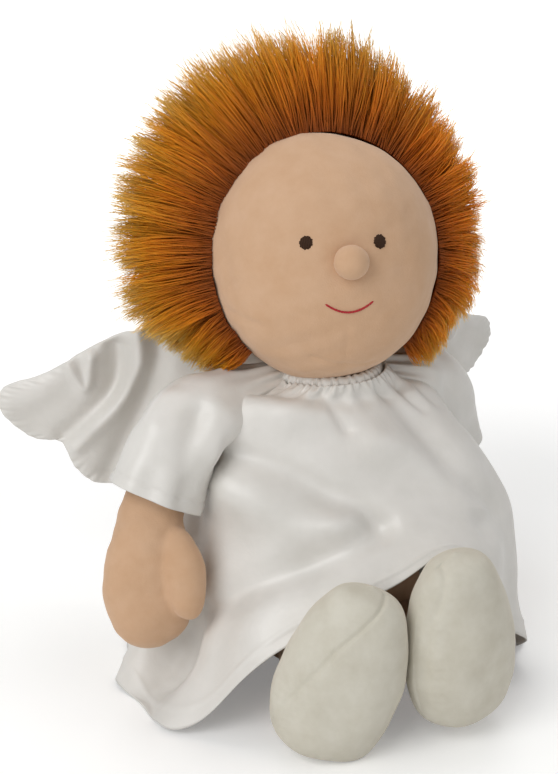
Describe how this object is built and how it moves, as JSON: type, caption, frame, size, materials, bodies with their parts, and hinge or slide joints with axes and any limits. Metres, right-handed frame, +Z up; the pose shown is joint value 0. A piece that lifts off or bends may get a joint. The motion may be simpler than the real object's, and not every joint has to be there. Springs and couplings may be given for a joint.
{
  "type": "plush angel doll",
  "caption": "Stuffed doll that sits with its legs forward, with a satin dress, padded wings and long fur hair.",
  "frame": {"origin": "middle of the flat underside of the seat, on the surface the doll sits on", "axes": "+Z up, the doll faces -Y and its left side is +X"},
  "size_m": [0.3098, 0.2747, 0.3258],
  "materials": {
    "velour_skin": "matte",
    "velour_white": "matte",
    "satin_white": "satin",
    "fur_ginger": "matte",
    "fur_canvas": "matte",
    "thread_brown": "satin",
    "thread_red": "satin",
    "filling_white": "matte",
    "elastic_white": "matte"
  },
  "bodies": {
    "torso": {"body_cover": "velour_skin", "body_filling": "filling_white", "dress_front": "satin_white", "dress_back": "satin_white", "sleeve_right": "satin_white", "sleeve_left": "satin_white", "neckline_casing": "satin_white", "neckline_elastic": "elastic_white", "wing_tab": "satin_white"},
    "neck": {"neck_cover": "velour_skin", "neck_filling": "filling_white"},
    "head": {"head_cover": "velour_skin", "head_filling": "filling_white", "nose": "velour_skin", "eye_right": "thread_brown", "eye_left": "thread_brown", "mouth_stitching": "thread_red", "hair_backing": "fur_canvas", "hair_pile": "fur_ginger"},
    "arm_right": {"arm_right_cover": "velour_skin", "arm_right_filling": "filling_white"},
    "arm_left": {"arm_left_cover": "velour_skin", "arm_left_filling": "filling_white"},
    "leg_right": {"leg_right_cover": "velour_skin", "leg_right_filling": "filling_white", "foot_right_cover": "velour_white", "foot_right_filling": "filling_white"},
    "leg_left": {"leg_left_cover": "velour_skin", "leg_left_filling": "filling_white", "foot_left_cover": "velour_white", "foot_left_filling": "filling_white"},
    "wing_right": {"wing_right_cover": "satin_white", "wing_right_wadding": "filling_white"},
    "wing_left": {"wing_left_cover": "satin_white", "wing_left_wadding": "filling_white"}
  },
  "joints": [
    {"name": "neck_nod", "type": "hinge", "parent": "torso", "child": "neck", "pos_m": [-0.009, -0.008, 0.15], "axis": [1, 0, 0], "range_deg": [-3, 6], "stiffness_Nm_per_rad": 1.2, "deforming": ["neckline_casing", "neckline_elastic"]},
    {"name": "head_turn", "type": "hinge", "parent": "neck", "child": "head", "pos_m": [-0.009, -0.008, 0.16], "axis": [0, 0, 1], "range_deg": [-25, 25]},
    {"name": "shoulder_right", "type": "hinge", "parent": "torso", "child": "arm_right", "pos_m": [-0.045, -0.004, 0.133], "axis": [0, 1, 0], "range_deg": [-5, 38], "deforming": ["sleeve_right", "dress_front", "dress_back"]},
    {"name": "shoulder_left", "type": "hinge", "parent": "torso", "child": "arm_left", "pos_m": [0.037, 0.002, 0.133], "axis": [0, -1, 0], "range_deg": [-5, 38], "deforming": ["sleeve_left"]},
    {"name": "hip_right", "type": "hinge", "parent": "torso", "child": "leg_right", "pos_m": [-0.024, -0.04, 0.0195], "axis": [1, 0, 0], "range_deg": [-2, 75]},
    {"name": "hip_left", "type": "hinge", "parent": "torso", "child": "leg_left", "pos_m": [0.024, -0.04, 0.0195], "axis": [1, 0, 0], "range_deg": [-2, 75]},
    {"name": "wing_right_flap", "type": "hinge", "parent": "torso", "child": "wing_right", "pos_m": [-0.015, 0.056, 0.112], "axis": [0, 0, 1], "range_deg": [-15, 15], "stiffness_Nm_per_rad": 0.3},
    {"name": "wing_left_flap", "type": "hinge", "parent": "torso", "child": "wing_left", "pos_m": [0.015, 0.056, 0.112], "axis": [0, 0, -1], "range_deg": [-15, 15], "stiffness_Nm_per_rad": 0.3}
  ]
}
